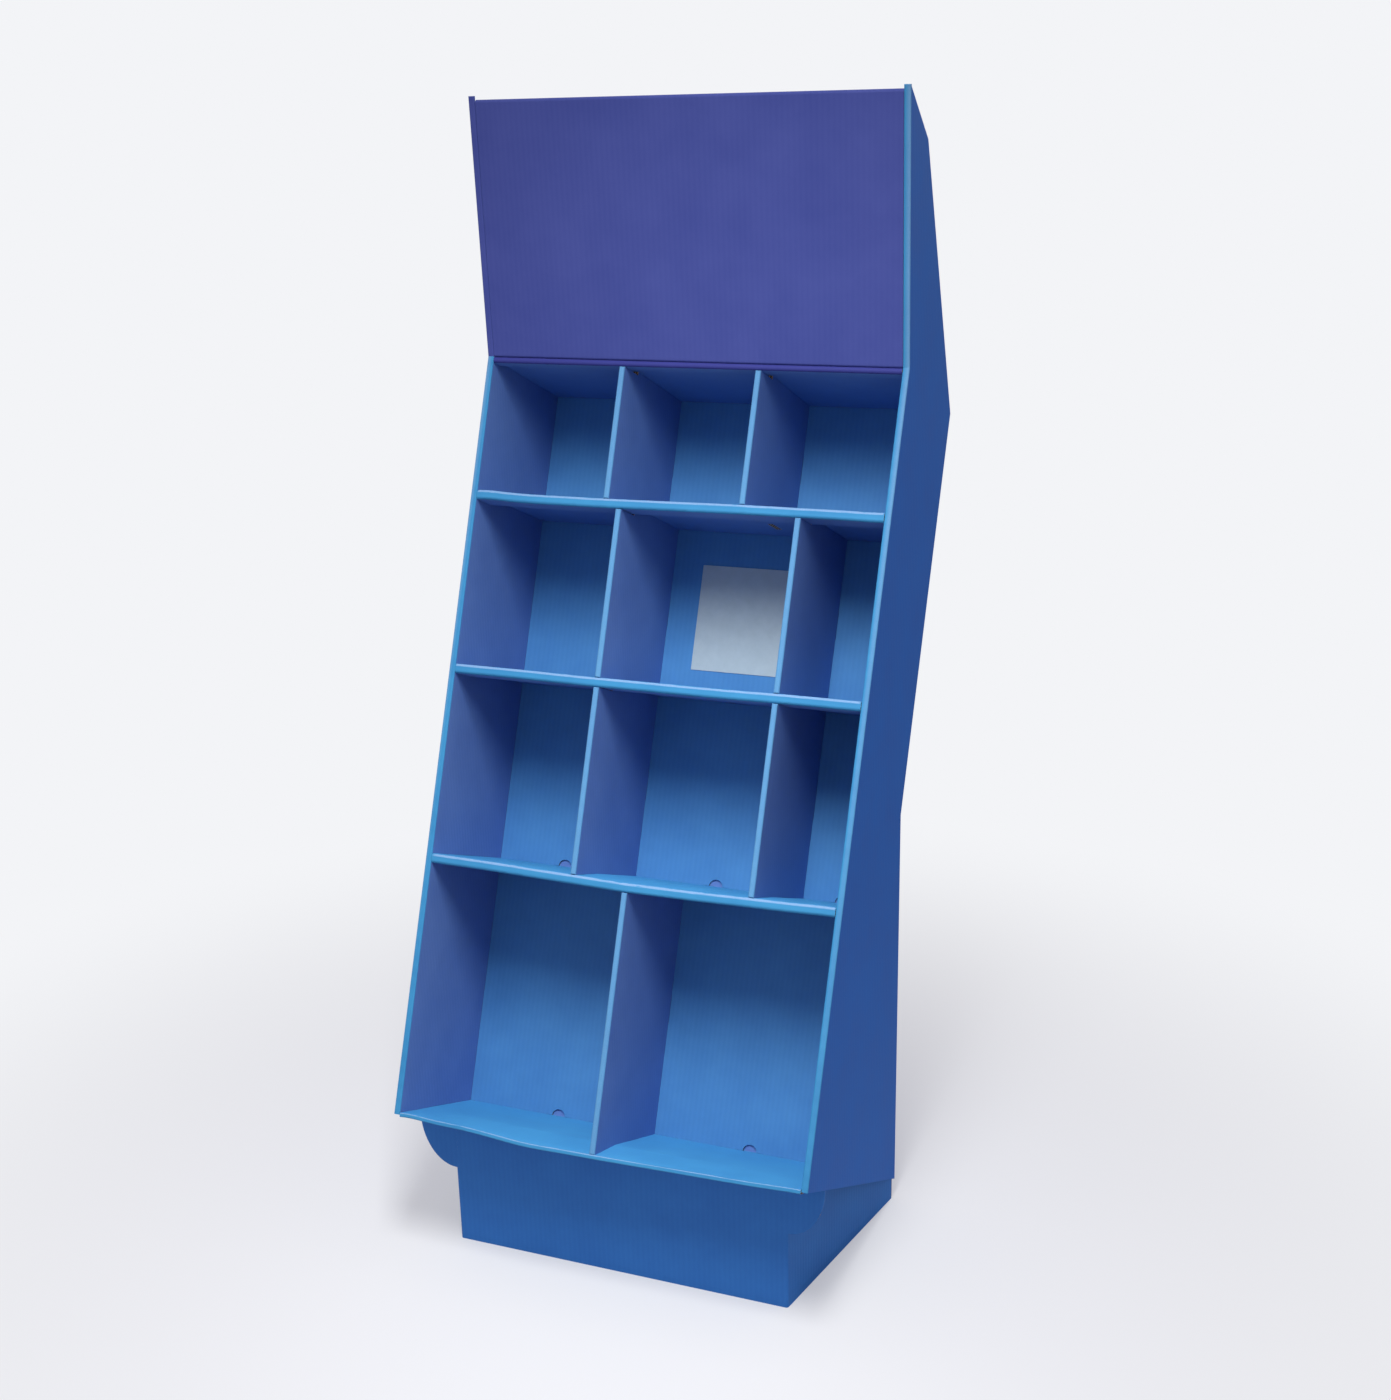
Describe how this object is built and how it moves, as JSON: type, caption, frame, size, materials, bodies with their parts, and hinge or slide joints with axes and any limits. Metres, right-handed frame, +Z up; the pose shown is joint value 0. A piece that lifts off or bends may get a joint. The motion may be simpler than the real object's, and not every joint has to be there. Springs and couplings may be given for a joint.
{
  "type": "cardboard display stand",
  "caption": "Free-standing corrugated cardboard shop display stand with slanted shelves, dividers, a blank header and a narrower plinth.",
  "frame": {"origin": "on the floor at the middle of the plinth, under its flat insert", "axes": "+Z up, the open front faces -Y, +X to the right as seen from the front"},
  "size_m": [0.6, 0.6102, 1.5358],
  "materials": {
    "side_board": "deep blue litho print, satin varnish",
    "inner_board": "mid blue litho print, satin varnish",
    "shelf_board": "light blue litho print, satin varnish",
    "header_board": "plain violet-blue litho print, satin varnish",
    "plinth_board": "deep blue litho print, satin varnish",
    "back_board": "deep blue litho print, satin varnish",
    "liner": "unprinted kraft board",
    "label_paper": "matt uncoated paper"
  },
  "bodies": {
    "root": {"side_panel_left": "side_board", "side_panel_right": "side_board", "inner_back_wall": "inner_board", "back_panel": "back_board", "header_card": "header_board", "bottom_shelf": "shelf_board", "shelf_lower": "shelf_board", "shelf_middle": "shelf_board", "shelf_upper": "shelf_board", "top_panel": "shelf_board", "divider_bottom": "inner_board", "divider_lower_left": "inner_board", "divider_lower_right": "inner_board", "divider_upper_left": "inner_board", "divider_upper_right": "inner_board", "divider_top_left": "inner_board", "divider_top_right": "inner_board", "plinth_wrap": "plinth_board", "plinth_pad": "liner", "plinth_rib_left": "liner", "plinth_rib_right": "liner", "blank_label": "label_paper"}
  },
  "joints": []
}
